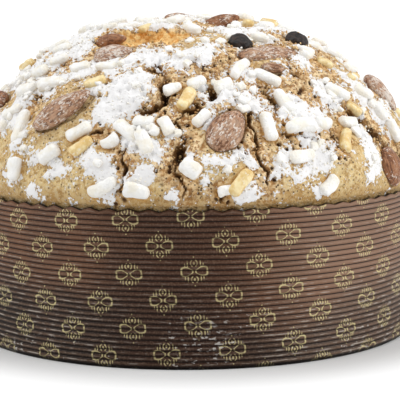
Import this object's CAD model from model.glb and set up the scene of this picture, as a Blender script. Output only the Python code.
import itertools
import math
from collections import namedtuple
from functools import partialmethod

import bpy
import numpy as np
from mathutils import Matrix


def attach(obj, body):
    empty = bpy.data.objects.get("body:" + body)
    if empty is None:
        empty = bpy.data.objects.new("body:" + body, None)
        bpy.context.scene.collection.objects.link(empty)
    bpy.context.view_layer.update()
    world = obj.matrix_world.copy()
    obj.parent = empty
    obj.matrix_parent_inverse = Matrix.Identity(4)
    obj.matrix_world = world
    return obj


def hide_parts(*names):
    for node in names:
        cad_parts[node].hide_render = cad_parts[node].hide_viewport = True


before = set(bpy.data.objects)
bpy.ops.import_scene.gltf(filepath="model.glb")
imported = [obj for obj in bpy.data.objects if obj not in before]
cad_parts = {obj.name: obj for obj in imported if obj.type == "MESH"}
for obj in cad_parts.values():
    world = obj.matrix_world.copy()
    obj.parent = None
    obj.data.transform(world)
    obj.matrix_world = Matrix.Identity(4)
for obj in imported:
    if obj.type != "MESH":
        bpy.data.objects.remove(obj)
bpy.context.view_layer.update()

MM = 0.001
BODY = "root"

# Paper case
CASE_RADIUS = 105 * MM
RIM_HEIGHT = 66.6 * MM
PAPER_THICKNESS = 1.5 * MM
FLOOR_THICKNESS = 1.2 * MM
FOOT_CHAMFER = 1.2 * MM
RIM_WAVES = 76
RIM_WAVE_HEIGHT = 0.55 * MM
GAP = 0.3 * MM
FLUTES = 29
FLUTE_DEPTH = 0.62 * MM
SEGMENTS_PER_WAVE = 4
ROWS_PER_FLUTE = 7
WALL_SWAY = 0.35 * MM
RIM_SWAY = 0.3 * MM

# Dome of the cake
DOME_RADIUS = 105.5 * MM
WAIST_HEIGHT = 74 * MM
DOME_TOP = 143.2 * MM
OUTLINE_SQUARENESS = 2.31
CROWN_SQUARENESS = 1.52
TUCK_HEIGHT = 6 * MM
CAKE_RADIUS = CASE_RADIUS - PAPER_THICKNESS - GAP
CRUST_RINGS = 178

# Broad unevenness of the crust
LUMP_COUNT = 7
LUMP_HEIGHT = 0.55 * MM
SHORTEST_LUMP = 26 * MM
LONGEST_LUMP = 64 * MM
CALM_RIM_WIDTH = 14 * MM
# Broad swells and hollows: azimuth, then arc, height and spread in mm
SWELLS = [
    (0, 4, -2.2, 34), (85, 82, -2.4, 22), (-20, 22, 1.6, 13), (-18, 62, -1.2, 12),
    (185, 26, 1.5, 15), (250, 88, -1.8, 20),
]

# Cracks that show from the front: azimuth and arc of the start and of the end, then sway,
# width and depth, in degrees and mm
FRONT_CRACKS = [
    (-14, 101, -7, 97, 1, 3.6, 5), (-8, 100, -7, 81, 1.2, 5, 6), (-7, 84, -13, 75, 1, 3.6, 4.5),
    (-3, 100, -2, 119, 1.2, 2.6, 3), (-1, 117, -4, 126, 0.8, 4.6, 4.5),
    (-4, 124, -1, 138, 1, 3.4, 4), (-15, 114, -16, 138, 1.2, 2.6, 3),
    (16, 100, 16, 120, 1.2, 3.2, 3.5), (16, 118, 18, 138, 1, 2.6, 3),
    (47, 100, 61, 127, 1.5, 3.6, 4), (24, 86, 24, 104, 1, 3.6, 4), (6, 86, 7, 96, 0.8, 4.4, 5),
]
# Torn openings, where the risen crust has parted and the crumb shows
OPENINGS = [
    (-48, 54, -3, 43, 1.5, 16, 5), (158, 48, 204, 44, 1.5, 14, 5),
]
HIDDEN_CRACK_COUNT = 6
HIDDEN_CRACKS_FROM = 104
HIDDEN_CRACKS_TO = 256
CRACK_STEPS = 48
# Fine cracks and small cavities, too shallow for the solids
FINE_CRACKS = [
    (-10, 79, -11, 69, 0.6, 2.4, 2.6), (24, 113, 31, 116, 0.5, 2.6, 2.8),
    (34, 82, 38, 85, 0.4, 3.6, 3.6), (0, 95, 3, 98, 0.4, 3.8, 3.8), (-54, 98, -50, 92, 0.5, 3, 3.2),
    (-56, 81, -51, 72, 0.6, 2.4, 2.4), (-60, 54, -54, 52, 0.5, 2.4, 2.4),
    (38, 60, 47, 64, 0.6, 3, 3), (-45, 57, -40, 54, 0.4, 2.4, 2.8), (6, 137, 7, 141, 0.3, 3.2, 3),
    (13, 102, 18, 103, 0.5, 2.8, 2.8), (14, 72, 8, 75, 0.5, 2.4, 2.4),
    (1, 74, 7, 78, 0.5, 2.4, 2.6), (60, 60, 66, 69, 0.6, 3, 3.4), (38, 113, 38, 122, 0.5, 2.2, 2.4),
    (-3, 100, 4, 99, 0.5, 4, 3.6), (-22, 108, -26, 112, 0.5, 2, 2.2),
    (46, 99, 61, 127, 0.9, 5.4, 5),
]
# Crags, bumps and pores of the torn crust, and the coat of icing sugar
CRAG_SIZE = 6 * MM
CRAG_HEIGHT = 0.9 * MM
BUMP_HEIGHT = 0.85 * MM
PORE_DEPTH = 1.4 * MM
SUGAR_COAT = 0.75 * MM

# Almonds: azimuth, then arc, heading, length and width, and where it is unusual thickness,
# lift and tilt, in degrees and mm
ALMOND_PARTS = "azimuth arc heading length width thickness lift tilt"
Almond = namedtuple("Almond", ALMOND_PARTS, defaults=(8, 0, 0))
ALMOND_SUNK = 0.44
FRONT_ALMONDS = [
    (-35.5, 102.5, 133, 29, 11.5), (9, 110.5, 143, 21.5, 14.5), (-33, 64, 110, 18, 12),
    (40, 22, 50, 19, 9, 8, 0.8, 23), (32, 67, 92, 31, 9, 6, -0.3), (57, 132, 8, 18, 13),
    (84, 99, 8, 22, 12, 8, 1.5), (-72, 101, 100, 20, 10), (-42, 53, 112, 15, 7, 6, -0.8),
    (29, 78, 77, 11, 5, 4, -0.1),
]
# Which almonds are heavily dusted, and which are smooth and reddish
DUSTED_ALMONDS = {2, 6, 11, 14}
RED_ALMONDS = {3, 5, 7, 8, 12, 17}
BACK_ALMOND_COUNT = 9
BACK_ALMONDS_FROM = 120
BACK_ALMOND_TURN = 16
BACK_ALMOND_ARCS = [104, 60, 122, 84, 36]

# Raisins: azimuth, arc in mm and heading
RAISIN_SIZE = np.array([12, 10, 8]) * MM
RAISIN_SUNK = 0.35
RAISINS = [(24, 56, 95), (63, 56, 60), (151, 80, 20), (230, 94, 75)]

# Rods of pearl sugar that stand out in front: azimuth, then arc, heading, length and width in mm
WHITE_FRONT_RODS = [
    (-49, 111, 15, 17, 5.5), (-45, 130, 6, 10, 5.5), (-20, 135, 117, 13, 5),
    (-12, 136, 80, 11, 5.6), (-16, 110, 51, 14, 5), (-20, 115, 123, 8, 4.6),
    (-6, 108, 28, 9, 5), (0, 127, 54, 9, 6.4), (3, 104, 137, 9, 5),
    (20, 109, 4, 13, 5.4), (28, 111, 90, 14, 5.8), (36, 109, 88, 8, 5.2),
    (27, 123, 96, 12, 4.8), (33, 136, 127, 10, 5.2), (27, 97, 14, 13, 5),
    (25, 83, 51, 13, 4.7), (17, 77, 138, 13, 4.7), (10, 88, 108, 8, 5.4),
    (9, 97, 127, 9, 5), (14, 97, 26, 11, 3.8), (-36, 122, 127, 10, 5.8),
    (-29, 111, 123, 12, 4.7), (-12, 106, 88, 9, 4.6), (-11, 116, 27, 11, 5.4),
    (-58, 104, 120, 12, 4.2), (-49, 87, 105, 14, 5.6), (-58, 92, 111, 12, 5),
    (-56, 73, 135, 9, 4.6), (-68, 22, 179, 8, 4.2), (-77, 38, 103, 10, 4.2),
    (-42, 41, 136, 9, 4.2), (2, 40, 41, 9, 4.9), (37, 53, 38, 8, 4.8),
    (50, 70, 110, 10, 4.9), (65, 39, 87, 12, 4.2), (100, 44, 60, 12, 4.3),
    (46, 109, 83, 10, 4.4), (64, 117, 163, 11, 5), (8, 136, 101, 8, 4.4),
    (48, 94, 49, 12, 4.8), (59, 97, 57, 11, 4.4), (63, 107, 17, 9, 5),
    (-65, 65, 148, 9, 4.2), (-41, 76, 114, 9, 4.2), (-30, 75, 90, 11, 4.2),
    (-5, 89, 118, 8, 4.2), (2, 85, 118, 8, 4.6), (95, 60, 142, 8, 4.3),
    (-74, 89, 9, 8, 4.2), (-59, 82, 112, 9, 4.8), (-60, 112, 110, 8, 4.4),
]
GLAZED_FRONT_RODS = [
    (-27, 118, 135, 11, 4.8), (-30, 86, 118, 10, 4.8), (-1, 94, 151, 11, 4.8),
    (11, 133, 138, 13, 5), (41, 118, 149, 12, 4.8), (-46, 63, 8, 10, 4.9),
    (51, 103, 37, 8, 4), (-30, 39, 2, 8, 3.8), (56, 76, 41, 8, 4), (61, 88, 93, 9, 4),
]
Rod = namedtuple("Rod", "azimuth arc heading length width glazed placed")
# The rest of the rods: a golden-angle spiral, left out where the front rods already lie
GLAZED_EVERY = 8
ROD_SPOTS = 215
FIRST_ROD_SPOT = 5
GOLDEN_TURN = 137.508
HIGHEST_SPOT = 6
LOWEST_SPOT = 132
SPOT_SPREAD = 0.6
COVERED_HALF_TURN = 80
COVERED_FROM_ARC = 36
SHORTEST_ROD = 6.5
LONGEST_ROD = 12
SPIRAL_ROD_WIDTH = 4.8
ROD_SUNK = 0.3
ROD_JITTER = 3.5
NIB_COUNT = 170

# Patches of icing sugar that show from the front: azimuth, then arc and radius in mm
FRONT_PATCHES = [
    # Skyline and left shoulder
    (-88, 20, 5), (-71, 30, 4.5), (-82, 37, 4), (-49, 40, 3.5), (-80, 46, 5), (-73, 54, 4),
    (-64, 64, 4.5), (-58, 72, 5), (-36, 71, 4.5), (-39, 76, 6), (-59, 82, 4.5), (-49, 87, 6),
    (-66, 76, 4), (-52, 64, 4),
    (-72, 88, 4.5), (-59, 94, 4.5), (-58, 104, 5), (-61, 109, 4), (-70, 60, 5), (-80, 66, 5),
    (-66, 84, 4), (-78, 80, 4.5), (-56, 60, 4),
    # Top and upper middle
    (26, 39, 4.5), (31, 44, 5.5), (50, 39, 5), (0, 69, 6), (6, 66, 5), (-5, 72, 4),
    (-17, 68, 6), (-13, 71, 4), (-22, 72, 4), (-30, 71, 4),
    (10, 91, 4.5), (14, 96, 4), (17, 99, 3.5), (7, 95, 3),
    # The large patch left of the middle
    (-15, 84, 4), (-19, 88, 6.5), (-17, 94, 6), (-22, 97, 6), (-23, 103, 4.5),
    # Right shoulder
    (43, 72, 4.5), (55, 66, 4), (32, 77, 3.5), (59, 86, 4), (44, 91, 4.5), (46, 96, 4.5),
    (59, 94, 4.5), (62, 106, 4.5), (64, 112, 5), (77, 104, 4.5), (73, 110, 4), (66, 118, 4.5),
    (28, 98, 4.5), (30, 104, 7), (36, 106, 5), (49, 118, 4), (49, 124, 5), (50, 131, 4.5),
    (46, 134, 3),
    # Lower left
    (-36, 120, 4), (-40, 124, 3.5), (-22, 124, 5.5), (-20, 129, 4), (-35, 132, 2.5),
    (-32, 128, 2.5), (-45, 132, 3), (-40, 138, 3), (-12, 115, 4.5), (-9, 119, 4),
    (-11, 128, 3.5), (-10, 132, 3.5), (-13, 134, 3.5),
    # Lower middle and right
    (-4, 138, 2.2), (0, 122, 3), (4, 124, 3), (8, 124, 3.6), (12, 121, 4), (14, 126, 2.4),
    (3, 132, 1.6), (22, 124, 4.2), (25, 131, 4), (32, 127, 5.2), (34, 122, 4.2),
    (20, 131, 2.6), (30, 138, 2.6), (56, 142, 2.5),
]
PATCH_SPOTS = 70
GRANULE_COUNT = 5200
CRUMB_COUNT = 3400


class Draw:
    """Draws in a fixed order, the same on every run and unlike those of the next seed."""

    def __init__(self, seed):
        self.state = (seed * 2654435761) & 0xFFFFFFFF

    def __call__(self):
        self.state = (self.state * 1664525 + 1013904223) & 0xFFFFFFFF
        return self.state / 4294967296

    def between(self, low, high):
        return low + (high - low) * self()


# The dome's outline as arc length, radius and height, tucked in above the rim
def make_outline():
    angle = np.linspace(0, math.pi / 2, 401)
    radius = DOME_RADIUS * np.sin(angle) ** (2 / OUTLINE_SQUARENESS)
    rise = (DOME_TOP - WAIST_HEIGHT) * np.clip(np.cos(angle), 0, 1) ** (2 / CROWN_SQUARENESS)
    tuck = np.linspace(0, math.pi / 2, 21)[1:]
    radius = np.append(radius, CAKE_RADIUS + (DOME_RADIUS - CAKE_RADIUS) * np.cos(tuck))
    height = np.append(WAIST_HEIGHT + rise, WAIST_HEIGHT - TUCK_HEIGHT * np.sin(tuck))
    steps = np.hypot(np.diff(radius), np.diff(height))
    return np.append(0, np.cumsum(steps)), radius, height


OUTLINE_ARC, OUTLINE_RADIUS, OUTLINE_HEIGHT = make_outline()
DOME_ARC = OUTLINE_ARC[-1]


def outline_at(arc):
    radius = np.interp(arc, OUTLINE_ARC, OUTLINE_RADIUS)
    return radius, np.interp(arc, OUTLINE_ARC, OUTLINE_HEIGHT)


def outward(azimuth):
    turn = np.radians(azimuth)
    return np.stack([np.sin(turn), -np.cos(turn), np.zeros_like(turn)], axis=-1)


def unit(vectors):
    return vectors / np.linalg.norm(vectors, axis=-1, keepdims=True)


def on_circle(azimuth, radius, height):
    """Points at a distance from the axis and at a height."""
    points = outward(azimuth) * np.asarray(radius)[..., None]
    points[..., 2] = height
    return points


def as_pair(azimuth, arc):
    return np.broadcast_arrays(np.asarray(azimuth, float), np.asarray(arc, float))


def smooth_place(azimuth, arc):
    azimuth, arc = as_pair(azimuth, arc)
    return on_circle(azimuth, *outline_at(arc))


def directions_at(azimuth, arc):
    """Down the slope, to the right, and straight out of the smooth crust."""
    reach = 0.5 * MM
    azimuth, arc = as_pair(azimuth, arc)
    before = np.stack(outline_at(np.maximum(arc - reach, 0)), axis=-1)
    after = np.stack(outline_at(np.maximum(arc, reach) + reach), axis=-1)
    slope = unit(after - before)
    down = outward(azimuth) * slope[..., :1]
    down[..., 2] = slope[..., 1]
    right = outward(azimuth + 90)
    return down, right, np.cross(down, right)


def make_lumps():
    draw = Draw(11)
    waves = []
    for _ in range(LUMP_COUNT):
        heading = 2 * math.pi * draw()
        length = draw.between(SHORTEST_LUMP, LONGEST_LUMP)
        waves.append((heading, length, 2 * math.pi * draw()))
    return waves


LUMPS = make_lumps()


def unevenness(azimuth, arc):
    azimuth, arc = as_pair(azimuth, arc)
    across = arc * np.sin(np.radians(azimuth))
    along = arc * np.cos(np.radians(azimuth))
    height = np.zeros_like(arc)
    for heading, length, phase in LUMPS:
        travel = across * math.cos(heading) + along * math.sin(heading)
        height = height + LUMP_HEIGHT * np.sin(2 * math.pi * travel / length + phase)
    place = smooth_place(azimuth, arc)
    for swell_azimuth, swell_arc, swell_height, spread in SWELLS:
        centre = smooth_place(swell_azimuth, swell_arc * MM)
        away = np.linalg.norm(place - centre, axis=-1)
        height = height + swell_height * MM * hump(away, 0, spread * MM)
    return height * np.minimum((DOME_ARC - arc) / CALM_RIM_WIDTH, 1)


def crust_place(azimuth, arc, lift=0.0):
    out = directions_at(azimuth, arc)[2]
    height = unevenness(azimuth, arc) + lift
    return smooth_place(azimuth, arc) + out * height[..., None]


def frame_on(azimuth, arc, heading, lift, tilt=0.0):
    """An origin and three axes on the crust: along the heading, to its side, and outward."""
    down, right, out = directions_at(azimuth, arc)
    turn = math.radians(heading)
    along = down * math.cos(turn) + right * math.sin(turn)
    side = np.cross(out, along)
    lean = math.radians(tilt)
    tilted_along = along * math.cos(lean) + out * math.sin(lean)
    tilted_out = out * math.cos(lean) - along * math.sin(lean)
    return crust_place(azimuth, arc, lift), np.stack([tilted_along, side, tilted_out])


# Seeded noise on points in space
def cell_number(cells, seed):
    x, y, z = (cells[..., i].astype(np.int64).astype(np.uint32) for i in range(3))
    mixed = x * np.uint32(374761393) + y * np.uint32(668265263) + z * np.uint32(2246822519)
    mixed = mixed + np.uint32(seed * 97531 + 7)
    mixed = (mixed ^ (mixed >> np.uint32(13))) * np.uint32(1274126177)
    mixed = (mixed ^ (mixed >> np.uint32(15))) * np.uint32(2246822519)
    return (mixed ^ (mixed >> np.uint32(16))) / 4294967295.0


def noise(points, size, seed):
    """Smooth random heights from -1 to 1, about one rise and fall to each size."""
    scaled = points / size
    cell = np.floor(scaled)
    share = scaled - cell
    share = share * share * (3 - 2 * share)
    total = 0
    for corner in itertools.product((0, 1), repeat=3):
        weight = np.prod(np.where(corner, share, 1 - share), axis=-1)
        total = total + weight * cell_number(cell + corner, seed)
    return 2 * total - 1


def rough_noise(points, size, seed, layers=3):
    total = 0
    strength = 1.0
    for layer in range(layers):
        total = total + strength * noise(points, size / 2 ** layer, seed + layer)
        strength *= 0.5
    return total


def nearest_spot(points, size, seed):
    """Distance to the nearest of one random spot in each cell, and that spot's own number."""
    scaled = points / size
    cell = np.floor(scaled)
    best = np.full(points.shape[:-1], 9.0)
    number = np.zeros(points.shape[:-1])
    for step in itertools.product((-1, 0, 1), repeat=3):
        other = cell + step
        spot = other + np.stack([cell_number(other, seed + k) for k in range(3)], axis=-1)
        away = np.linalg.norm(scaled - spot, axis=-1)
        nearer = away < best
        best = np.where(nearer, away, best)
        number = np.where(nearer, cell_number(other, seed + 3), number)
    return best * size, number


def smooth_step(value, low, high):
    share = np.clip((value - low) / (high - low), 0, 1)
    return share * share * (3 - 2 * share)


def hump(value, middle, width):
    """1 in the middle, falling off smoothly to both sides."""
    return np.exp(-((value - middle) / width) ** 2)


def hidden_cracks():
    """Cracks of the far side, spread evenly and then moved a little."""
    draw = Draw(23)
    spacing = (HIDDEN_CRACKS_TO - HIDDEN_CRACKS_FROM) / (HIDDEN_CRACK_COUNT - 1)
    cracks = []
    for i in range(HIDDEN_CRACK_COUNT):
        azimuth = HIDDEN_CRACKS_FROM + spacing * i + 8 * (draw() - 0.5)
        start = 68 + 32 * draw()
        lean = 12 * (draw() - 0.5)
        width = 2.8 + 3.2 * draw()
        end = 124 + 12 * draw()
        cracks.append((azimuth, start, azimuth + lean, end, 2, width, 0.6 * width + 1.5))
    return cracks


CRACKS = FRONT_CRACKS + hidden_cracks()


def crack_line(crack, seed):
    """The azimuths and arcs of a crack that sways to both sides of its straight course."""
    from_azimuth, from_arc, to_azimuth, to_arc, sway_width = crack[:5]
    draw = Draw(seed)
    slow_phase = 2 * math.pi * draw()
    quick_phase = 2 * math.pi * draw()
    radius = outline_at((from_arc + to_arc) / 2 * MM)[0] / MM
    across_run = math.radians(to_azimuth - from_azimuth) * radius
    down_run = to_arc - from_arc
    run = math.hypot(across_run, down_run)
    share = np.linspace(0, 1, CRACK_STEPS + 1)
    slow = np.sin(2 * math.pi * 1.3 * share + slow_phase)
    quick = 0.5 * np.sin(2 * math.pi * 3.1 * share + quick_phase)
    sway = sway_width * (slow + quick)
    across = across_run * share + down_run / run * sway
    down = down_run * share - across_run / run * sway
    return from_azimuth + np.degrees(across / radius), (from_arc + down) * MM


def distance_to_line(points, line):
    """For each point, its distance to a line through points and where along it that is."""
    start, step = line[:-1], np.diff(line, axis=0)
    length = (step ** 2).sum(-1)
    away = points[:, None] - start[None]
    share = np.clip((away * step).sum(-1) / length, 0, 1)
    gap = np.linalg.norm(away - share[..., None] * step, axis=-1)
    best = gap.argmin(1)
    rows = np.arange(len(points))
    return gap[rows, best], (best + share[rows, best]) / len(step)


class CrustRelief:
    """The fine relief of the crust: cracks, tears, pores and icing sugar, on given places."""

    def __init__(self, azimuth, arc):
        self.arc = arc
        self.place = crust_place(azimuth, arc)
        self.out = directions_at(azimuth, arc)[2]
        warp = np.stack([noise(self.place, 4 * MM, 301 + k) for k in range(3)], axis=-1)
        self.warped = self.place + 0.9 * MM * warp
        self.height, self.crack, self.crumb, self.nearness, self.glaze = np.zeros((5, len(arc)))
        for i, crack in enumerate(CRACKS):
            self.cut_crack(crack, i + 1)
        for i, opening in enumerate(OPENINGS):
            self.cut_opening(opening, len(CRACKS) + i + 1)
        for i, crack in enumerate(FINE_CRACKS):
            self.cut_crack(crack, 60 + i)
        self.roughen()
        self.dust()
        self.seat_almonds()
        self.seat_rods()
        self.height *= np.clip((DOME_ARC - arc) / (3 * MM), 0, 1)

    @property
    def surface(self):
        return self.place + self.out * self.height[:, None]

    def pick(self, count, weight, seed):
        """Places on the crust, drawn without repeats in proportion to a weight."""
        rng = np.random.default_rng(seed)
        weight = np.asarray(weight, float) * (self.arc < DOME_ARC - 7 * MM)
        return rng.choice(len(weight), size=count, replace=False, p=weight / weight.sum())

    def frame_at(self, spot, heading, lift):
        place = self.surface[spot]
        azimuth = math.degrees(math.atan2(place[0], -place[1]))
        axes = frame_on(azimuth, self.arc[spot], heading, 0.0)[1]
        return place + axes[2] * lift, axes

    def near(self, crack, seed, margin):
        """Which places lie near a crack, how far from it, and its share of its full size there."""
        line = crust_place(*crack_line(crack, seed))
        low, high = line.min(0) - margin, line.max(0) + margin
        chosen = np.flatnonzero(((self.warped > low) & (self.warped < high)).all(1))
        gap, share = distance_to_line(self.warped[chosen], line)
        return chosen, self.place[chosen], gap, 0.4 + 0.6 * np.sin(math.pi * share)

    def cut_crack(self, crack, seed):
        width, depth = crack[5] * MM, crack[6] * MM
        chosen, place, gap, size = self.near(crack, seed, 16 * MM)
        fineness = 0.55 + 0.45 * smooth_step(width, 2.6 * MM, 5 * MM)
        half = width / 2 * fineness * size * (1 + 0.55 * noise(place, 5 * MM, 41))
        across = gap / np.maximum(half, 0.55 * MM)
        inside = np.clip(1.15 - across, 0, 1) ** 0.7
        cut = depth * size * inside * (1 + 0.3 * noise(place, 3 * MM, 43))
        lip = 0.5 * MM * size * hump(across, 1.6, 0.5)
        self.height[chosen] = np.minimum(self.height[chosen], -cut) + lip * (inside == 0)
        self.crack[chosen] = np.maximum(self.crack[chosen], inside * size)
        reach = hump(gap, 0, 7 * MM) * min(width / (5 * MM), 1)
        self.nearness[chosen] = np.maximum(self.nearness[chosen], reach)

    def cut_opening(self, opening, seed):
        width, depth = opening[5] * MM, opening[6] * MM
        chosen, place, gap, size = self.near(opening, seed, 18 * MM)
        half = width / 2 * size * (1 + 0.22 * noise(place, 7 * MM, 47))
        across = gap / half
        inside = 1 - smooth_step(across, 0.55, 1.0)
        floor = 0.9 * MM * rough_noise(place, 4 * MM, 51)
        self.height[chosen] -= inside * (depth * size + floor)
        self.height[chosen] += 0.7 * MM * hump(across, 1.15, 0.2)
        self.crumb[chosen] = np.maximum(self.crumb[chosen], 1 - smooth_step(across, 0.8, 0.98))
        edge = 0.6 * hump(across, 1.0, 0.35)
        self.nearness[chosen] = np.maximum(self.nearness[chosen], edge)

    def roughen(self):
        """Crumbly bumps and pores, strongest near cracks and high up, weakest low on the sides."""
        place = self.place
        high = 1 - smooth_step(self.arc, 92 * MM, 134 * MM)
        patchy = 0.4 + 0.6 * smooth_step(noise(place, 15 * MM, 61), -0.45, 0.5)
        self.craggy = np.clip(0.12 + 0.45 * high * patchy + 0.85 * self.nearness, 0, 1)
        gap, _ = nearest_spot(self.warped, 3.3 * MM, 73)
        bump = 1 - (gap / (2.1 * MM)) ** 2
        crags = CRAG_HEIGHT * rough_noise(place, CRAG_SIZE, 67, 4)
        crags = crags + BUMP_HEIGHT * np.maximum(bump, -0.8)
        ripple = 0.24 * MM * rough_noise(place, 2.8 * MM, 71, 2)
        gap, number = nearest_spot(self.warped, 3.4 * MM, 79)
        radius = (0.6 + 0.9 * number) * MM
        deep = (1 - smooth_step(gap, 0.35 * radius, 1.15 * radius)) * (number > 0.3)
        self.pore = deep * smooth_step(self.craggy, 0.16, 0.5)
        self.hollow = self.craggy * smooth_step(-bump, -0.5, 0.5)
        dimple = np.maximum(noise(place, 2.2 * MM, 97) - 0.35, 0) * 0.5 * MM
        self.height += crags * self.craggy + ripple - PORE_DEPTH * self.pore - dimple

    def dust(self):
        """Icing sugar in patches that run into each other, with torn edges and some depth."""
        amount = np.zeros(len(self.arc))
        for azimuth, arc, radius in FRONT_PATCHES + spread_patches() + rod_patches():
            away = self.warped - smooth_place(azimuth, arc * MM)
            amount += np.exp(-0.8 * (away ** 2).sum(-1) / (radius * MM) ** 2)
        ragged = rough_noise(self.place, 7 * MM, 83, 4)
        shoulders = 0.16 * (1 - smooth_step(self.arc, 96 * MM, 120 * MM))
        field = np.minimum(amount, 1.3) - 0.42 + shoulders + 0.34 * ragged
        field -= 1.1 * self.crack + 2 * self.crumb + 0.4 * self.pore
        self.sugar = np.clip(0.5 + 0.5 * field, 0, 1)
        cover = smooth_step(self.sugar, 0.46, 0.66)
        heaps = 0.35 * MM * noise(self.place, 4.2 * MM, 89)
        heaps = heaps + 0.12 * MM * noise(self.place, 1.8 * MM, 91)
        self.height += cover * (SUGAR_COAT + heaps)

    def seat_almonds(self):
        """A narrow groove round each almond, and room for it."""
        for almond in ALMONDS:
            origin, axes = almond_frame(almond)
            local = (self.place - origin) @ axes.T
            half = np.array([almond.length, almond.width]) / 2 * MM
            across = np.sqrt(((local[:, :2] / half) ** 2).sum(-1))
            near = np.abs(local[:, 2]) < 9 * MM
            groove = near * (1 - smooth_step(across, 0.9, 1.06))
            self.height = np.where(groove > 0, self.height - 1.6 * MM * groove, self.height)
            shadow = near * hump(across, 1.0, 0.06)
            self.crack = np.maximum(self.crack, 0.3 * shadow)
            self.sugar = self.sugar * (1 - groove)

    def seat_rods(self):
        """Melted sugar has run out a little round the foot of the rods."""
        for rod in ROD_LIST:
            origin, axes = rod_frame(rod)
            local = (self.place - origin) @ axes.T
            reach = np.maximum(np.abs(local[:, 0]) - rod.length / 2 + rod.width / 2, 0)
            away = np.hypot(reach, local[:, 1]) - rod.width / 2
            near = np.abs(local[:, 2]) < 7 * MM
            self.glaze = np.maximum(self.glaze, near * (1 - smooth_step(away, 0.2 * MM, 1.9 * MM)))


def in_front(azimuth):
    return abs((azimuth + 180) % 360 - 180) < COVERED_HALF_TURN


def spread_patches():
    """Patches over the part of the dome that the front patches leave bare."""
    draw = Draw(71)
    patches = []
    for i in range(PATCH_SPOTS):
        azimuth = (GOLDEN_TURN * i + 40 * draw()) % 360
        arc = 8 + 122 * ((i + 0.5) / PATCH_SPOTS) ** SPOT_SPREAD
        radius = 4 + 5 * draw()
        if not (in_front(azimuth) and arc > COVERED_FROM_ARC):
            patches.append((azimuth, arc, radius))
            patches.append((azimuth + 4 * draw(), arc + 6 * draw(), 0.7 * radius))
    return patches


def rod_patches():
    """A dusting of icing sugar at one end of every other rod."""
    return [
        (rod.azimuth + 2, rod.arc / MM + 0.3 * rod.length / MM, 0.32 * rod.length / MM)
        for rod in ROD_LIST[::2]
    ]


# Meshes
def plain(values):
    return np.ascontiguousarray(values, dtype=np.float32).ravel()


def link(name, data):
    """A new object of the scene that shows the data given."""
    thing = bpy.data.objects.new(name, data)
    bpy.context.scene.collection.objects.link(thing)
    return thing


def add_piece(name, points, faces, material, uv, numbers=None):
    mesh = bpy.data.meshes.new(name)
    mesh.from_pydata(points.tolist(), [], faces.tolist())
    mesh.uv_layers.new(name="OFBake").data.foreach_set("uv", plain(uv))
    for label, values in (numbers or {}).items():
        kind, key = ("FLOAT", "value") if values.ndim == 1 else ("FLOAT_VECTOR", "vector")
        mesh.attributes.new(label, kind, "POINT").data.foreach_set(key, plain(values))
    mesh.polygons.foreach_set("use_smooth", np.ones(len(faces), bool))
    mesh.materials.append(material)
    mesh.update()
    piece = link(name, mesh)
    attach(piece, BODY)
    return piece


def ring_faces(rows, sides):
    """Triangles of a closed body of rings between two end points, and their map places."""
    corners = []
    for i in range(sides):
        corners += [(-1, i + 0.5), (0, i + 1), (0, i)]
        corners += [(rows, i + 0.5), (rows - 1, i), (rows - 1, i + 1)]
        for row in range(rows - 1):
            corners += [(row, i), (row, i + 1), (row + 1, i + 1)]
            corners += [(row, i), (row + 1, i + 1), (row + 1, i)]
    row, i = np.array(corners).T
    point = np.clip(1 + row * sides + i % sides, 0, 1 + rows * sides).astype(int)
    return point.reshape(-1, 3), np.stack([i / sides, (row + 1) / (rows + 1)], axis=-1)


def map_cells(count, inner):
    """The same map places for each of many bodies, each body in its own square cell."""
    across = math.ceil(math.sqrt(count))
    corner = np.stack([np.arange(count) % across, np.arange(count) // across], axis=-1)
    return ((corner[:, None] + inner[None]) / across).reshape(-1, 2)


def join_bodies(bodies, rows, sides):
    """Many ring bodies as one set of points, faces and map places."""
    faces, places = ring_faces(rows, sides)
    offsets = np.arange(len(bodies)) * len(bodies[0])
    all_faces = (faces[None] + offsets[:, None, None]).reshape(-1, 3)
    margin = 0.05
    uv = map_cells(len(bodies), margin + (1 - 2 * margin) * places)
    return np.concatenate(bodies), all_faces, uv


def ring_shape(rows, sides, profile):
    """Unit points of a body along X: an end, rings that a profile swells, and the other end."""
    shares = 0.5 - 0.5 * np.cos(math.pi * (np.arange(rows) + 1) / (rows + 1))
    turn = 2 * math.pi * np.arange(sides) / sides
    swell = profile(shares)[:, None]
    x = np.repeat((2 * shares - 1)[:, None], sides, axis=1)
    rings = np.stack([x, swell * np.cos(turn), swell * np.sin(turn)], axis=-1).reshape(-1, 3)
    return np.concatenate([[[-1, 0, 0]], rings, [[1, 0, 0]]])


def placed(points, frame_of):
    origin, axes = frame_of
    return origin + points @ axes


# The crust
def crust_grid():
    """Rings of 6, 12, 18 ... points over the dome, and the triangles between them."""
    azimuth, arc, faces = [np.zeros(1)], [np.zeros(1)], []

    def start(ring):
        return 0 if ring == 0 else 1 + 3 * ring * (ring - 1)

    def at(ring, i):
        return start(ring) + (i % (6 * ring) if ring else 0 * i)

    for ring in range(1, CRUST_RINGS + 1):
        azimuth.append(360 * np.arange(6 * ring) / (6 * ring))
        arc.append(np.full(6 * ring, DOME_ARC * ring / CRUST_RINGS))
        sector, step = (a.ravel() for a in np.meshgrid(np.arange(6), np.arange(ring)))
        inner = at(ring - 1, sector * (ring - 1) + step)
        outer = at(ring, sector * ring + step)
        next_outer = at(ring, sector * ring + step + 1)
        faces.append(np.stack([inner, outer, next_outer], axis=-1))
        more = step + 1 < ring
        next_inner = at(ring - 1, sector * (ring - 1) + step + 1)
        faces.append(np.stack([inner, next_outer, next_inner], axis=-1)[more])
    return np.concatenate(azimuth), np.concatenate(arc), np.concatenate(faces)


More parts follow.
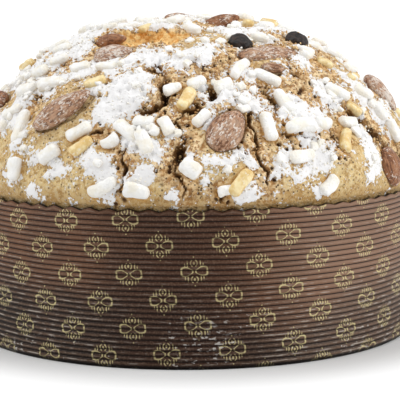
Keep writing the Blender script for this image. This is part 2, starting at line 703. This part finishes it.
def make_crust(material):
    azimuth, arc, faces = crust_grid()
    relief = CrustRelief(azimuth, arc)
    points = relief.surface
    flat = np.stack([arc * np.sin(np.radians(azimuth)), -arc * np.cos(np.radians(azimuth))], -1)
    flat = 0.5 + 0.485 * flat / DOME_ARC
    # The part inside the case goes straight down to its floor
    count = 6 * CRUST_RINGS
    last_ring = len(points) - count + np.arange(count)
    foot_ring = len(points) + np.arange(count)
    middle = len(points) + count
    floor = FLOOR_THICKNESS + GAP
    foot = on_circle(azimuth[last_ring], CAKE_RADIUS, floor)
    points = np.concatenate([points, foot, [[0, 0, floor]]])
    following = np.roll(np.arange(count), -1)
    side_faces = np.concatenate([
        np.stack([foot_ring, foot_ring[following], last_ring[following]], axis=-1),
        np.stack([foot_ring, last_ring[following], last_ring], axis=-1),
        np.stack([np.full(count, middle), foot_ring[following], foot_ring], axis=-1),
    ])
    direction = flat[last_ring] - 0.5
    flat = np.concatenate([flat, 0.5 + direction * 1.02, [[0.01, 0.01]]])
    faces = np.concatenate([faces, side_faces])
    uv = flat[faces]
    bottom = slice(len(faces) - count, len(faces))
    uv[bottom] = 0.01 + 0.02 * (flat[faces[bottom]] - 0.5)
    extra = np.zeros(count + 1)
    labels = ("crack", "crumb", "craggy", "pore", "hollow", "sugar", "glaze")
    numbers = {label: np.append(getattr(relief, label), extra) for label in labels}
    numbers["arc"] = np.append(arc / DOME_ARC, extra)
    piece = add_piece("crust", points, faces, material, uv, numbers)
    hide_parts("cake")
    return relief


# Almonds, raisins and sugar
def back_almonds():
    draw = Draw(37)
    almonds = []
    for i in range(BACK_ALMOND_COUNT):
        azimuth = BACK_ALMONDS_FROM + BACK_ALMOND_TURN * i + 8 * (draw() - 0.5)
        arc = BACK_ALMOND_ARCS[i % len(BACK_ALMOND_ARCS)] + 6 * (draw() - 0.5)
        almonds.append((azimuth, arc, 180 * draw(), 20 + 8 * draw(), 11 + 3 * draw()))
    return almonds


ALMONDS = [Almond(*row) for row in FRONT_ALMONDS + back_almonds()]


def almond_frame(almond):
    lift = (almond.thickness * (0.5 - ALMOND_SUNK) + almond.lift) * MM
    return frame_on(almond.azimuth, almond.arc * MM, almond.heading, lift, almond.tilt)


def raisin_frame(raisin):
    azimuth, arc, heading = raisin
    return frame_on(azimuth, arc * MM, heading, RAISIN_SIZE[2] * (0.5 - RAISIN_SUNK))


def make_almonds():
    usual = almond_material("almond_skin", (112, 74, 50), (178, 136, 106), (208, 176, 148), 0.56)
    dusted = almond_material("dusted_almond_skin", (122, 84, 62), (182, 142, 116),
                             (212, 184, 160), 0.5)
    red = almond_material("red_almond_skin", (104, 62, 38), (158, 108, 74), (182, 136, 102), 0.6)
    rows, sides = 26, 30
    unit_points = ring_shape(rows, sides, lambda s: np.sin(math.pi * s ** 0.85) ** 0.55)
    for i, almond in enumerate(ALMONDS):
        size = np.array([almond.length, almond.width, almond.thickness]) / 2 * MM
        points = unit_points * size
        streaks = points * [0.22, 1, 1] + [0.05 * i, 0, 0]
        grooves = 0.22 * MM * rough_noise(streaks, 1.7 * MM, 101, 2)
        dents = 0.06 * almond.thickness * MM * noise(points + 0.05 * i, 7 * MM, 107)
        body = np.linalg.norm(unit_points[:, 1:], axis=-1)
        across = unit(points * [0, 1, 1] + [0, 1e-9, 0])
        points = points + across * ((grooves + dents) * body)[:, None]
        world, faces, uv = join_bodies([placed(points, almond_frame(almond))], rows, sides)
        name = f"almond_skin_{i + 1:02d}"
        numbers = {"grain": unit_points * size / MM + [40.0 * i, 0, 0]}
        skin = dusted if i in DUSTED_ALMONDS else red if i in RED_ALMONDS else usual
        piece = add_piece(name, world, faces, skin, uv, numbers)
        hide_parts(f"almond_{i + 1:02d}")


def make_raisins(material):
    rows, sides = 24, 32
    unit_points = ring_shape(rows, sides, lambda s: np.sin(math.pi * s) ** 0.6)
    for i, raisin in enumerate(RAISINS):
        points = unit_points * RAISIN_SIZE / 2
        folds = np.abs(rough_noise(points * [0.6, 1, 1] + 0.1 * i, 2.6 * MM, 113, 2))
        points = points * (1.04 - 0.22 * folds)[:, None]
        world, faces, uv = join_bodies([placed(points, raisin_frame(raisin))], rows, sides)
        piece = add_piece(f"raisin_skin_{i + 1:02d}", world, faces, material, uv)
        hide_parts(f"raisin_{i + 1:02d}")


def all_rods():
    rods = [
        Rod(azimuth, arc * MM, heading, length * MM, width * MM, is_glazed, True)
        for is_glazed, rows in ((False, WHITE_FRONT_RODS), (True, GLAZED_FRONT_RODS))
        for azimuth, arc, heading, length, width in rows
    ]
    draw = Draw(53)
    for i in range(ROD_SPOTS):
        share = ((i + 0.5) / ROD_SPOTS) ** SPOT_SPREAD
        arc = (HIGHEST_SPOT + (LOWEST_SPOT - HIGHEST_SPOT) * share) * MM
        arc += ROD_JITTER * MM * (draw() - 0.5)
        turn = ROD_JITTER * MM * (draw() - 0.5)
        azimuth = (GOLDEN_TURN * i) % 360 + math.degrees(turn / outline_at(arc)[0])
        heading = 180 * draw()
        length = draw.between(SHORTEST_ROD, LONGEST_ROD) * MM
        if i < FIRST_ROD_SPOT or (in_front(azimuth) and arc > COVERED_FROM_ARC * MM):
            continue
        is_glazed = i % GLAZED_EVERY == 3
        rods.append(Rod(azimuth, arc, heading, length, SPIRAL_ROD_WIDTH * MM, is_glazed, False))
    return rods


def rod_frame(rod):
    return frame_on(rod.azimuth, rod.arc, rod.heading, rod.width * (0.5 - ROD_SUNK))


def spine(frame_of, length):
    origin, axes = frame_of
    return origin + np.linspace(-0.5, 0.5, 5)[:, None] * length * axes[0]


def least_distance(points_a, points_b):
    return np.linalg.norm(points_a[:, None] - points_b[None], axis=-1).min()


def kept_rods():
    """Rods that clear nuts, fruit, tears and each other."""
    things = [(spine(almond_frame(a), 0.7 * a.length * MM), a.width / 2 * MM) for a in ALMONDS]
    things += [(spine(raisin_frame(r), 0.3 * RAISIN_SIZE[0]), RAISIN_SIZE[1] / 2)
               for r in RAISINS]
    tears = []
    for i, opening in enumerate(OPENINGS):
        line = crust_place(*crack_line(opening, len(CRACKS) + i + 1))
        tears.append((line, 0.3 * opening[5] * MM))
    kept = []
    taken = []
    for rod in all_rods():
        points = spine(rod_frame(rod), rod.length - rod.width)
        reach = rod.width / 2
        others = things if rod.placed else things + tears
        if any(least_distance(points, line) < radius + reach for line, radius in others):
            continue
        if not rod.placed and any(least_distance(points, t) < 1.9 * reach for t in taken):
            continue
        taken.append(points)
        kept.append(rod)
    return kept


ROD_LIST = kept_rods()


def sugar_body(size, seed_shift, draw, shape):
    """A lump of pearl sugar along X: nearly a cylinder, bent, dented and worn."""
    size = np.array(size) * [1, draw.between(0.95, 1.12), draw.between(0.85, 1.0)] / 2
    points = shape * size
    points[:, 1] += draw.between(-0.5, 0.5) * MM * (1 - 2 * shape[:, 0] ** 2)
    taper = 1 + draw.between(-0.14, 0.14) * shape[:, :1]
    points[:, 1:] *= taper
    bumps = noise(points + seed_shift, 3.2 * MM, 137)
    bumps = bumps + 0.55 * noise(points + seed_shift, 1.5 * MM, 139)
    return points + unit(shape * size[::-1]) * (0.42 * MM * bumps)[:, None]


def make_rods(white, glazed, relief):
    rows, sides = 12, 14
    blunt = ring_shape(rows, sides, lambda s: (1 - np.abs(2 * s - 1) ** 8) ** 0.4)
    blunt[:, 1:] *= (np.abs(unit(blunt[:, 1:] + 1e-9)) ** 3.2).sum(-1, keepdims=True) ** (-1 / 3.2)
    draw = Draw(131)
    bodies = {False: [], True: []}
    for i, rod in enumerate(ROD_LIST):
        body = sugar_body([rod.length, rod.width, rod.width], 0.03 * i, draw, blunt)
        bodies[rod.glazed].append(placed(body, rod_frame(rod)))
    for i, spot in enumerate(relief.pick(NIB_COUNT, relief.sugar > 0.45, 907)):
        size = np.array([draw.between(2.6, 5), draw.between(2, 3.4), draw.between(1.8, 3)]) * MM
        frame_of = relief.frame_at(spot, 360 * draw(), 0.5 * MM)
        bodies[False].append(placed(sugar_body(size, 0.7 + 0.03 * i, draw, blunt), frame_of))
    foot = np.clip(-2 * blunt[:, 2], 0, 1)
    for is_glazed, material, name in ((False, white, "sugar_rods"), (True, glazed, "glazed_rods")):
        points, faces, uv = join_bodies(bodies[is_glazed], rows, sides)
        numbers = {"foot": np.tile(foot, len(bodies[is_glazed]))}
        add_piece(name, points, faces, material, uv, numbers)


ICO_RATIO = (1 + math.sqrt(5)) / 2
GRAIN_POINTS = unit(np.array([
    (-1, ICO_RATIO, 0), (1, ICO_RATIO, 0), (-1, -ICO_RATIO, 0), (1, -ICO_RATIO, 0),
    (0, -1, ICO_RATIO), (0, 1, ICO_RATIO), (0, -1, -ICO_RATIO), (0, 1, -ICO_RATIO),
    (ICO_RATIO, 0, -1), (ICO_RATIO, 0, 1), (-ICO_RATIO, 0, -1), (-ICO_RATIO, 0, 1),
]))
GRAIN_FACES = np.array([
    (0, 11, 5), (0, 5, 1), (0, 1, 7), (0, 7, 10), (0, 10, 11), (1, 5, 9), (5, 11, 4),
    (11, 10, 2), (10, 7, 6), (7, 1, 8), (3, 9, 4), (3, 4, 2), (3, 2, 6), (3, 6, 8),
    (3, 8, 9), (4, 9, 5), (2, 4, 11), (6, 2, 10), (8, 6, 7), (9, 8, 1),
])


def make_grains(name, count, weight, smallest, largest, material, relief, seed):
    """Small lumps strewn over the crust, each an uneven ball sunk a little into it."""
    spots = relief.pick(count, weight, seed)
    rng = np.random.default_rng(seed)
    radius = smallest + (largest - smallest) * rng.random(count) ** 2.2
    stretch = 1 + 0.5 * (rng.random((count, 1, 3)) - 0.5)
    wobble = 1 + 0.35 * (rng.random((count, 12, 1)) - 0.5)
    spin = np.linalg.qr(rng.normal(size=(count, 3, 3)))[0]
    spin *= np.sign(np.linalg.det(spin))[:, None, None]
    local = (GRAIN_POINTS[None] * wobble * stretch) @ spin
    centre = relief.surface[spots] + relief.out[spots] * (0.35 * radius)[:, None]
    centre = centre + 0.35 * MM * rng.normal(size=(count, 3)) * (radius / largest)[:, None]
    points = (centre[:, None] + local * radius[:, None, None]).reshape(-1, 3)
    faces = (GRAIN_FACES[None] + 12 * np.arange(count)[:, None, None]).reshape(-1, 3)
    tile = np.stack([np.arange(20) % 5, np.arange(20) // 5], axis=-1) / [5, 4]
    triangle = np.array([(0.1, 0.1), (0.9, 0.1), (0.1, 0.9)]) / [5, 4]
    inner = 0.05 + 0.9 * (tile[:, None] + triangle[None])
    uv = map_cells(count, inner.reshape(-1, 2))
    add_piece(name, points, faces, material, uv)


# Shader nodes
class Value:
    """A shader value that plain arithmetic turns into math nodes."""

    def __init__(self, shader, socket):
        self.shader = shader
        self.socket = socket

    def compute(self, operation, other=0.0):
        return self.shader.node("Math", 0, {0: self, 1: other}, operation=operation)

    __add__ = partialmethod(compute, "ADD")
    __sub__ = partialmethod(compute, "SUBTRACT")
    __mul__ = partialmethod(compute, "MULTIPLY")
    __truediv__ = partialmethod(compute, "DIVIDE")
    __mod__ = partialmethod(compute, "MODULO")
    __pow__ = partialmethod(compute, "POWER")
    __abs__ = partialmethod(compute, "ABSOLUTE")


class Shader:
    """A node material with short calls for the nodes that the finishes use."""

    def __init__(self, name):
        self.material = bpy.data.materials.new(name)
        self.material.use_nodes = True
        self.tree = self.material.node_tree
        self.surface = self.tree.nodes["Principled BSDF"]
        self.place = self.node("TexCoord", "Object", {})

    def node(self, kind, output, inputs, **settings):
        node = self.tree.nodes.new("ShaderNode" + kind)
        for key, setting in settings.items():
            setattr(node, key, setting)
        for key, value in inputs.items():
            self.feed(node.inputs[key], value)
        return Value(self, node.outputs[output])

    def feed(self, socket, value):
        if isinstance(value, Value):
            self.tree.links.new(value.socket, socket)
        elif socket.type == "RGBA":
            socket.default_value = (*linear(value), 1)
        else:
            socket.default_value = value

    def number(self, label):
        return self.node("Attribute", "Fac", {}, attribute_name=label)

    def vector(self, label):
        return self.node("Attribute", "Vector", {}, attribute_name=label)

    def stretch(self, vector, scale):
        return self.node("VectorMath", 0, {0: vector, 1: scale}, operation="MULTIPLY")

    def noise(self, size, detail, vector=None, rough=0.55):
        """Noise from 0 to 1 whose features are about the size given, in metres."""
        return self.node("TexNoise", "Fac", {
            "Vector": vector or self.place, "Scale": 1 / size, "Detail": detail, "Roughness": rough,
        })

    def cells(self, size):
        """Distance to the nearest of scattered points, 0 at a point and about 0.5 between them."""
        return self.node("TexVoronoi", "Distance", {"Vector": self.place, "Scale": 1 / size})

    def step(self, value, low, high, to_low=0.0, to_high=1.0):
        return self.node("MapRange", "Result", {
            "Value": value, "From Min": low, "From Max": high, "To Min": to_low, "To Max": to_high,
        }, interpolation_type="SMOOTHSTEP")

    def blend(self, share, first, second):
        return self.node("Mix", 2, {"Factor": share, 6: first, 7: second}, data_type="RGBA")

    def coats(self, colour, *coats):
        """A colour with coats over it, each given as its share and its own colour."""
        for share, coat in coats:
            colour = self.blend(share, colour, coat)
        return colour

    def bump(self, height, depth):
        normal = self.node("Bump", "Normal", {"Strength": 1.0, "Distance": depth, "Height": height})
        self.feed(self.surface.inputs["Normal"], normal)

    def finish(self, colour, roughness, specular):
        self.feed(self.surface.inputs["Base Color"], colour)
        self.feed(self.surface.inputs["Roughness"], roughness)
        self.surface.inputs["Specular IOR Level"].default_value = specular
        return self.material


def linear(colour):
    """A colour in 0 to 255 display values, as the shader's linear values."""
    shares = [value / 255 for value in colour]
    return [s / 12.92 if s <= 0.04045 else ((s + 0.055) / 1.055) ** 2.4 for s in shares]


def crust_material():
    s = Shader("baked_crust")
    craggy = s.number("craggy")
    middle = s.noise(5 * MM, 4)
    fine = s.noise(1.9 * MM, 4)
    grain = s.noise(0.8 * MM, 3)
    skin = s.coats(
        s.blend(s.step(s.noise(22 * MM, 3), 0.36, 0.66), (223, 197, 143), (208, 175, 118)),
        (s.step(middle, 0.48, 0.62) * 0.8, (184, 145, 86)),
        (s.step(grain, 0.54, 0.62) * 0.5, (242, 230, 200)),
        (s.step(fine, 0.52, 0.68) * 0.8, (232, 215, 172)),
        (s.step(fine, 0.46, 0.36) * 0.75, (160, 124, 68)),
    )
    rough = s.blend(s.step(fine, 0.38, 0.58), (156, 110, 62), (244, 218, 174))
    rough = s.blend(s.step(middle, 0.42, 0.66) * 0.45, rough, (210, 164, 104))
    pits = s.step(s.cells(1.9 * MM), 0.1, 0.3, 1.0, 0.0) * s.step(fine, 0.44, 0.54)
    pits = pits * s.step(craggy, 0.05, 0.5, 0.7, 1.0)
    uneven = fine - 0.5
    crumb = s.number("crumb") + uneven * 0.6
    crack = s.number("crack") + uneven * 0.7
    crumb_colour = s.blend(s.step(fine, 0.36, 0.62), (222, 158, 78), (255, 222, 158))
    lacy = (s.noise(1.3 * MM, 3) - 0.5) + (s.noise(4.5 * MM, 3) - 0.5)
    specks = s.step(s.noise(1.2 * MM, 3), 0.65, 0.7) * s.step(crack, 0.1, 0.4, 0.9, 0.0)
    specks = specks * s.step(crumb, 0.1, 0.4, 1.0, 0.0)
    sugar = s.step(s.number("sugar") + lacy, 0.49, 0.56).compute("MAXIMUM", specks)
    colour = s.coats(
        s.blend(s.step(craggy, 0.14, 0.62), skin, rough),
        (s.number("hollow") * 0.6, (126, 86, 40)),
        (pits, (84, 52, 22)),
        (s.step(s.number("arc"), 0.92, 1.0) * 0.6, (160, 121, 68)),
        (s.number("glaze") * 0.6, (190, 138, 64)),
        (s.step(crumb, 0.35, 0.65), crumb_colour),
        (s.step(s.number("pore"), 0.15, 0.8), (70, 42, 18)),
        (s.step(crack, 0.06, 0.4), (104, 70, 34)),
        (s.step(crack, 0.45, 0.9), (52, 32, 14)),
        (sugar, (234, 233, 233)),
    )
    bare = s.step(sugar, 0, 1, 1.0, 0.25)
    s.bump((fine * 0.55 + grain * 0.45 - pits * 0.7) * bare + sugar * 0.3, 1.4 * MM)
    return s.finish(colour, s.step(fine, 0.3, 0.7, 0.6, 0.85), 0.2)


def crumb_material():
    s = Shader("crust_crumbs")
    tone = s.noise(2.2 * MM, 3)
    colour = s.blend(s.step(tone, 0.36, 0.62), (170, 124, 72), (224, 194, 144))
    s.bump(s.noise(0.7 * MM, 2), 0.3 * MM)
    return s.finish(colour, s.step(tone, 0.3, 0.7, 0.6, 0.85), 0.2)


def sugar_material():
    s = Shader("pearl_sugar")
    fine = s.noise(1.1 * MM, 4)
    foot = s.number("foot") + (fine - 0.5) * 0.8
    colour = s.blend(s.step(s.noise(4.5 * MM, 2), 0.4, 0.68), (244, 243, 240), (238, 233, 220))
    colour = s.blend(s.step(foot, 0.35, 1.0) * 0.6, colour, (214, 190, 146))
    s.bump(fine + s.noise(0.6 * MM, 2) * 0.4, 0.5 * MM)
    return s.finish(colour, s.step(fine, 0.3, 0.7, 0.5, 0.75), 0.35)


def glazed_material():
    s = Shader("glazed_sugar")
    dust = s.step(s.noise(1.3 * MM, 4), 0.58, 0.68) * 0.7
    colour = s.coats(
        s.blend(s.step(s.noise(3.6 * MM, 2), 0.34, 0.66), (218, 184, 116), (240, 222, 172)),
        (s.step(s.number("foot"), 0.3, 1.0) * 0.6, (186, 140, 70)),
        (dust, (238, 230, 212)),
    )
    s.bump(s.noise(1.6 * MM, 3), 0.35 * MM)
    return s.finish(colour, s.step(dust, 0, 0.7, 0.3, 0.7), 0.5)


def almond_material(name, dark, base, light, dusting):
    """Wrinkled brown skin with icing sugar in its furrows."""
    s = Shader(name)
    streak = s.noise(0.9 * MM, 4, s.stretch(s.vector("grain"), (0.0003, 0.001, 0.001)))
    fleck = s.noise(0.7 * MM, 4, s.stretch(s.vector("grain"), (0.0005, 0.001, 0.001)), 0.65)
    speck = fleck * 1.1 + (s.noise(5 * MM, 3) - 0.5) * 0.7
    dust = s.step(speck, dusting + 0.04, dusting + 0.11)
    colour = s.coats(
        s.blend(s.step(streak, 0.4, 0.58), dark, base),
        (s.step(s.noise(4 * MM, 3), 0.42, 0.68) * 0.5, light),
        (dust * 0.85, (226, 216, 206)),
    )
    s.bump(streak + fleck * 0.7, 0.8 * MM)
    return s.finish(colour, s.step(dust, 0, 1, 0.5, 0.8), 0.3)


def raisin_material():
    s = Shader("raisin_skin")
    fold = s.noise(1.6 * MM, 4)
    colour = s.blend(s.step(fold, 0.4, 0.7), (20, 16, 16), (62, 48, 42))
    s.bump(fold, 0.6 * MM)
    return s.finish(colour, s.step(fold, 0.3, 0.7, 0.4, 0.6), 0.4)


# The paper case, its print in mm round and up the wall
PRINT_CELL_WIDTH = 27.35
PRINT_CELL_HEIGHT = 22.75
PRINT_LEAN = 3.4
PRINT_SHIFT = (17.4, 7.3)
CELLS_BEFORE = 100
PETAL_ROUNDNESS = 4.2
RING_RADIUS = 1.4


def flower(s, across, up):
    """An outlined flower of four petals with dots round it, in mm from its middle."""
    across = abs(across)
    up = abs(up)

    def line(distance):
        return s.step(abs(distance), 0.1, 0.36, 1.0, 0.0)

    def dot(centre_across, centre_up, half_across, half_up):
        x = (abs(across - centre_across) / half_across) ** 2.0
        y = (abs(up - centre_up) / half_up) ** 2.0
        outside = ((x + y) ** 0.5 - 1.0) * min(half_across, half_up)
        return s.step(outside, 0.0, 0.25, 1.0, 0.0)

    # The side petals widen outward
    half_height = s.step(across, 0.3, 3.4, 0.7, 1.85)
    x = (abs(across - 3.0) / 2.35) ** PETAL_ROUNDNESS
    y = (up / half_height) ** PETAL_ROUNDNESS
    ink = line(((x + y) ** (1 / PETAL_ROUNDNESS) - 1.0) * 1.6)
    away = (across * across + (up - 3.4) ** 2.0).compute("SQRT")
    ring = line(away - RING_RADIUS) * s.step(across, 0.4, 0.8)
    dots = (dot(0, 3.4, 0.28, 0.45), dot(2.7, 3.1, 0.12, 0.6), dot(3.8, 2.6, 0.1, 0.35),
            dot(0, 6.0, 0.15, 0.15))
    for other in (ring, *dots):
        ink = ink.compute("MAXIMUM", other)
    return ink


def flower_print(s, across, up):
    """The flowers in rows, each shifted by half."""
    lean = math.radians(PRINT_LEAN)
    turned_across = across * math.cos(lean) + up * math.sin(lean)
    turned_up = up * math.cos(lean) - across * math.sin(lean)
    lattices = []
    for half in (0.0, 0.5):
        x = turned_across + ((CELLS_BEFORE + half) * PRINT_CELL_WIDTH - PRINT_SHIFT[0])
        y = turned_up + ((CELLS_BEFORE + half) * PRINT_CELL_HEIGHT - PRINT_SHIFT[1])
        x = x % PRINT_CELL_WIDTH - PRINT_CELL_WIDTH / 2
        y = y % PRINT_CELL_HEIGHT - PRINT_CELL_HEIGHT / 2
        lattices.append(flower(s, x, y))
    return lattices[0].compute("MAXIMUM", lattices[1])


def paper_material():
    s = Shader("fluted_paper")
    across, up, crest = (s.node("SeparateXYZ", i, {0: s.vector("wall")}) for i in range(3))
    along = s.noise(5 * MM, 4, s.stretch(s.place, (1, 1, 5.0)))
    fine = s.noise(0.8 * MM, 3)
    middle = s.step(abs(across + 6.0), 10, 60, 0.8, 0.0)
    right = s.step(abs(across - 88.0), 16, 74, 0.5, 0.0)
    # The lower part of the wall is darker, up to a border that dips right of the middle
    dip = s.step(abs(across - 38.0), 10, 45, 20.0, 31.0)
    edge = up - dip + (s.noise(40 * MM, 3) - 0.5) * 34.0
    brown = s.coats(
        s.blend(s.step(edge, -9, 13), (38, 29, 24), (104, 69, 47)),
        (s.step(s.noise(26 * MM, 3), 0.4, 0.66) * 0.45, (62, 42, 33)),
        (middle, (46, 24, 13)),
        (right * s.step(up, 8, 44, 0.35, 1.0), (152, 122, 102)),
        (s.step(fine, 0.46, 0.7) * 0.24, (140, 114, 94)),
    )
    shine = s.step(crest, 0.8, 0.98) * s.step(middle, 0.0, 0.8, 0.28, 0.12)
    worn = s.step(crest, 0.86, 1.0) * s.step(along, 0.48, 0.66)
    worn = worn * s.step(up, 8, 56, 0.7, 0.2) * s.step(middle, 0.0, 0.8, 1.0, 0.4)
    ink = flower_print(s, across, up) * s.step(crest, 0.2, 0.7, 0.2, 0.9)
    ink = ink * s.step(s.noise(1.6 * MM, 3), 0.34, 0.52, 0.5, 1.0)
    ink = ink * s.step(middle, 0.0, 0.8, 1.0, 0.75)
    patch = s.noise(2.6 * MM, 4, s.stretch(s.place, (1, 1, 2.0)))
    patch = patch + (s.noise(30 * MM, 2) - 0.5) * 0.7
    powder = s.step(patch, 0.68, 0.74) * s.step(up, 6, 36, 0.75, 0.0)
    colour = s.coats(
        s.blend(s.step(crest, 0.12, 0.6), (20, 10, 6), brown),
        (shine, (150, 122, 102)),
        (worn, (186, 178, 168)),
        (ink, (202, 188, 138)),
        (powder * s.step(crest, 0.5, 0.9, 0.2, 1.0), (206, 202, 196)),
    )
    s.bump(fine * 0.6 + along * 0.4, 0.2 * MM)
    return s.finish(colour, s.step(ink, 0, 1, 0.46, 0.4), 0.15)


def make_case(material):
    segments = RIM_WAVES * SEGMENTS_PER_WAVE
    azimuth = 360 * np.arange(segments) / segments - 180
    share = np.linspace(0, 1, FLUTES * ROWS_PER_FLUTE + 1)
    height = FOOT_CHAMFER + (RIM_HEIGHT - FOOT_CHAMFER) * share
    crest = np.abs(np.sin(math.pi * share * FLUTES)) ** 0.75
    turn, tall = np.meshgrid(azimuth, height)
    crests = np.repeat(crest[:, None], segments, axis=1)
    wall_place = on_circle(turn, CASE_RADIUS, tall)
    sway = WALL_SWAY * noise(wall_place, 38 * MM, 151)
    wobble = RIM_SWAY * noise(wall_place, 21 * MM, 157)
    steady = np.sin(math.pi * share)[:, None]
    radius = CASE_RADIUS - FLUTE_DEPTH * (1 - crests) + steady * np.minimum(sway, 0.2 * MM)
    rim = hump(height, RIM_HEIGHT, 1.6 * MM)[:, None]
    uneven = 1 + 0.5 * noise(wall_place[-1:], 30 * MM, 163)
    wave = RIM_WAVE_HEIGHT * uneven * np.cos(np.radians(turn) * RIM_WAVES)
    tall = tall + steady * wobble + rim * wave
    inner_radius = CASE_RADIUS - PAPER_THICKNESS
    rings = [
        on_circle(azimuth, CASE_RADIUS - FOOT_CHAMFER, 0.0),
        *on_circle(turn, radius, tall),
        on_circle(azimuth, inner_radius, tall[-1]),
        on_circle(azimuth, inner_radius, FLOOR_THICKNESS),
    ]
    points = np.concatenate([[[0, 0, 0]], *rings, [[0, 0, FLOOR_THICKNESS]]])
    faces, places = ring_faces(len(rings), segments)
    crest_of = np.concatenate([np.zeros((1, segments)), crests, np.zeros((2, segments))])
    across = np.radians(np.tile(azimuth, (len(rings), 1))) * CASE_RADIUS / MM
    up = np.array([ring[:, 2] for ring in rings]) / MM
    wall = np.stack([across, up, crest_of], axis=-1).reshape(-1, 3)
    wall = np.concatenate([[[0, 0, 0]], wall, [[0, 0, 0]]])
    uv = case_map(places, len(rings))
    piece = add_piece("fluted_case", points, faces, material, uv, {"wall": wall})
    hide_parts("paper_case")


def case_map(places, ring_count):
    """The wall in three strips, one above the other, and the rest in what is left over."""
    strips = 3
    strip_height = 0.3
    loops = places.reshape(-1, 3, 2)
    row = loops[..., 1] * (ring_count + 1) - 1
    strip = np.minimum(np.floor(loops[..., 0].mean(1) * strips), strips - 1)[:, None]
    on_wall = (row.min(1) >= 0) & (row.max(1) <= ring_count - 3)
    u = loops[..., 0] * strips - strip
    v = (strip + 0.02 + 0.96 * row / (ring_count - 3)) * strip_height
    uv = np.stack([0.004 + 0.992 * u, v], axis=-1)
    rest = loops * [1, 0.07] + [0, 0.92]
    return np.where(on_wall[:, None, None], uv, rest).reshape(-1, 2)


# Stage, light and camera
LENS = 1558 / 400 * 36 * MM
CAMERA_DISTANCE = 734 * MM
CAMERA_HEIGHT = 156 * MM
CAMERA_PITCH = 7.68
CAMERA_ROLL = -0.46
SUBJECT_SHIFT = (200 - 190.7) / 400
LIGHT_DISTANCE = 1.3
LIGHT_SIZE = 0.9
LIGHT_AIM_HEIGHT = 80 * MM
AMBIENT_LIGHT = 0.43
BACKGROUND_LIGHT = 1.1


def make_camera():
    data = bpy.data.cameras.new("camera")
    data.sensor_width = 36
    data.lens = LENS / MM
    data.shift_x = SUBJECT_SHIFT
    camera = link("camera", data)
    camera.location = (0, -CAMERA_DISTANCE, CAMERA_HEIGHT)
    camera.rotation_euler = (math.radians(90 - CAMERA_PITCH), 0, 0)
    camera.rotation_euler.rotate_axis("Z", math.radians(CAMERA_ROLL))
    bpy.context.scene.camera = camera


def make_light(name, azimuth, elevation, power):
    data = bpy.data.lights.new(name, "AREA")
    data.shape = "SQUARE"
    data.size = LIGHT_SIZE
    data.energy = power
    light = link(name, data)
    rise = math.radians(elevation)
    toward = outward(float(azimuth)) * math.cos(rise)
    toward[2] = math.sin(rise)
    light.location = toward * LIGHT_DISTANCE + np.array([0, 0, LIGHT_AIM_HEIGHT])
    direction = light.location.copy()
    direction.z -= LIGHT_AIM_HEIGHT
    light.rotation_euler = direction.to_track_quat("Z", "Y").to_euler()


def make_stage():
    """A pale floor that fades into an evenly bright ground away from the object."""
    reach = 20.0
    mesh = bpy.data.meshes.new("floor")
    corners = [(-reach, -reach, 0), (reach, -reach, 0), (reach, reach, 0), (-reach, reach, 0)]
    mesh.from_pydata(corners, [], [(0, 1, 2, 3)])
    s = Shader("pale_floor")
    length = s.node("VectorMath", "Value", {0: s.place}, operation="LENGTH")
    far = s.step(length, 112 * MM, 152 * MM)
    s.finish(s.blend(far, (216, 216, 216), (40, 40, 40)), 0.9, 0.0)
    s.surface.inputs["Emission Color"].default_value = (1, 1, 1, 1)
    s.feed(s.surface.inputs["Emission Strength"], far * BACKGROUND_LIGHT)
    mesh.materials.append(s.material)
    link("floor", mesh)
    world = bpy.data.worlds.new("studio")
    world.use_nodes = True
    nodes, links = world.node_tree.nodes, world.node_tree.links
    background = nodes["Background"]
    background.inputs["Color"].default_value = (1, 1, 1, 1)
    path = nodes.new("ShaderNodeLightPath")
    strength = nodes.new("ShaderNodeMapRange")
    strength.inputs["To Min"].default_value = AMBIENT_LIGHT
    strength.inputs["To Max"].default_value = BACKGROUND_LIGHT
    links.new(path.outputs["Is Camera Ray"], strength.inputs["Value"])
    links.new(strength.outputs["Result"], background.inputs["Strength"])
    bpy.context.scene.world = world
    bpy.context.scene.view_settings.view_transform = "Standard"


def main():
    make_camera()
    make_stage()
    make_light("right_softbox", 72, 26, 9.8)
    make_light("left_softbox", -77, 44, 7.2)
    make_light("top_softbox", 0, 80, 5.8)
    make_crust_and_toppings()
    make_case(paper_material())


def make_crust_and_toppings():
    crumbs = crumb_material()
    sugar = sugar_material()
    relief = make_crust(crust_material())
    make_almonds()
    make_raisins(raisin_material())
    make_rods(sugar, glazed_material(), relief)
    dusted = relief.sugar * (relief.crack < 0.2)
    make_grains("sugar_grains", GRANULE_COUNT, smooth_step(dusted, 0.36, 0.6),
                0.22 * MM, 0.62 * MM, sugar, relief, 911)
    crumbly = relief.craggy * (relief.crumb < 0.5) * (relief.sugar < 0.5)
    make_grains("crust_crumbs", CRUMB_COUNT, crumbly ** 2,
                0.25 * MM, 0.7 * MM, crumbs, relief, 919)


main()
